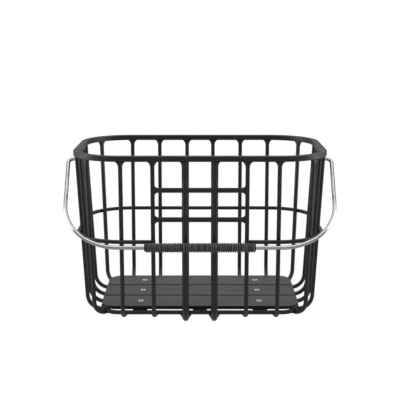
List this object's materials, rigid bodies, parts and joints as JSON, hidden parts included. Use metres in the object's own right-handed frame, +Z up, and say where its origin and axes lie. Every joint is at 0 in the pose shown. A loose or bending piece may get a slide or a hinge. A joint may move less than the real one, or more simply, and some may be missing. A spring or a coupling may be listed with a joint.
{
  "type": "handlebar basket",
  "caption": "Open-bar bicycle basket with a planked floor, a mounting grid on its back wall and a swinging bail handle with a cord-wound grip.",
  "frame": {"origin": "the middle of the base on the standing plane: halfway along the basket, halfway between its front and back walls, level with the undersides of the two keels", "axes": "+X along the basket, +Y to the front, away from the handlebar, +Z up"},
  "size_m": [0.4194, 0.267, 0.2586],
  "materials": {
    "powder_coat": "satin",
    "stainless_rod": "satin",
    "stainless_screw": "satin",
    "floor_board": "matt",
    "bush_plastic": "matt",
    "cap_plastic": "matt",
    "grip_foam": "matt",
    "grip_cord": "matt"
  },
  "bodies": {
    "basket": {"back_bar_1": "powder_coat", "back_bar_2": "powder_coat", "back_bar_3": "powder_coat", "back_bar_4": "powder_coat", "base_ring": "powder_coat", "corner_bar_back_left": "powder_coat", "corner_bar_back_right": "powder_coat", "corner_bar_front_left": "powder_coat", "corner_bar_front_right": "powder_coat", "crossbar_lower": "powder_coat", "crossbar_upper": "powder_coat", "floor_screws": "stainless_screw", "floor_strap_centre": "powder_coat", "floor_strap_left": "powder_coat", "floor_strap_right": "powder_coat", "front_bar_1": "powder_coat", "front_bar_2": "powder_coat", "front_bar_3": "powder_coat", "front_bar_4": "powder_coat", "front_bar_5": "powder_coat", "front_bar_6": "powder_coat", "left_bar_1": "powder_coat", "left_bar_2": "powder_coat", "left_bar_3": "powder_coat", "left_bar_4": "powder_coat", "mid_rail": "powder_coat", "mount_post_left": "powder_coat", "mount_post_right": "powder_coat", "pivot_bush_left": "bush_plastic", "pivot_bush_right": "bush_plastic", "pivot_lug_left": "powder_coat", "pivot_lug_right": "powder_coat", "plank_back": "floor_board", "plank_front": "floor_board", "plank_middle": "floor_board", "right_bar_1": "powder_coat", "right_bar_2": "powder_coat", "right_bar_3": "powder_coat", "right_bar_4": "powder_coat", "rim": "powder_coat"},
    "handle": {"bail": "stainless_rod", "grip_core": "grip_foam", "grip_wrap": "grip_cord", "rod_cap_left": "cap_plastic", "rod_cap_right": "cap_plastic"}
  },
  "joints": [
    {"name": "bail_swing", "type": "hinge", "parent": "basket", "child": "handle", "pos_m": [0, 0, 0.236], "axis": [-1, 0, 0], "range_deg": [0, 259.5]}
  ]
}
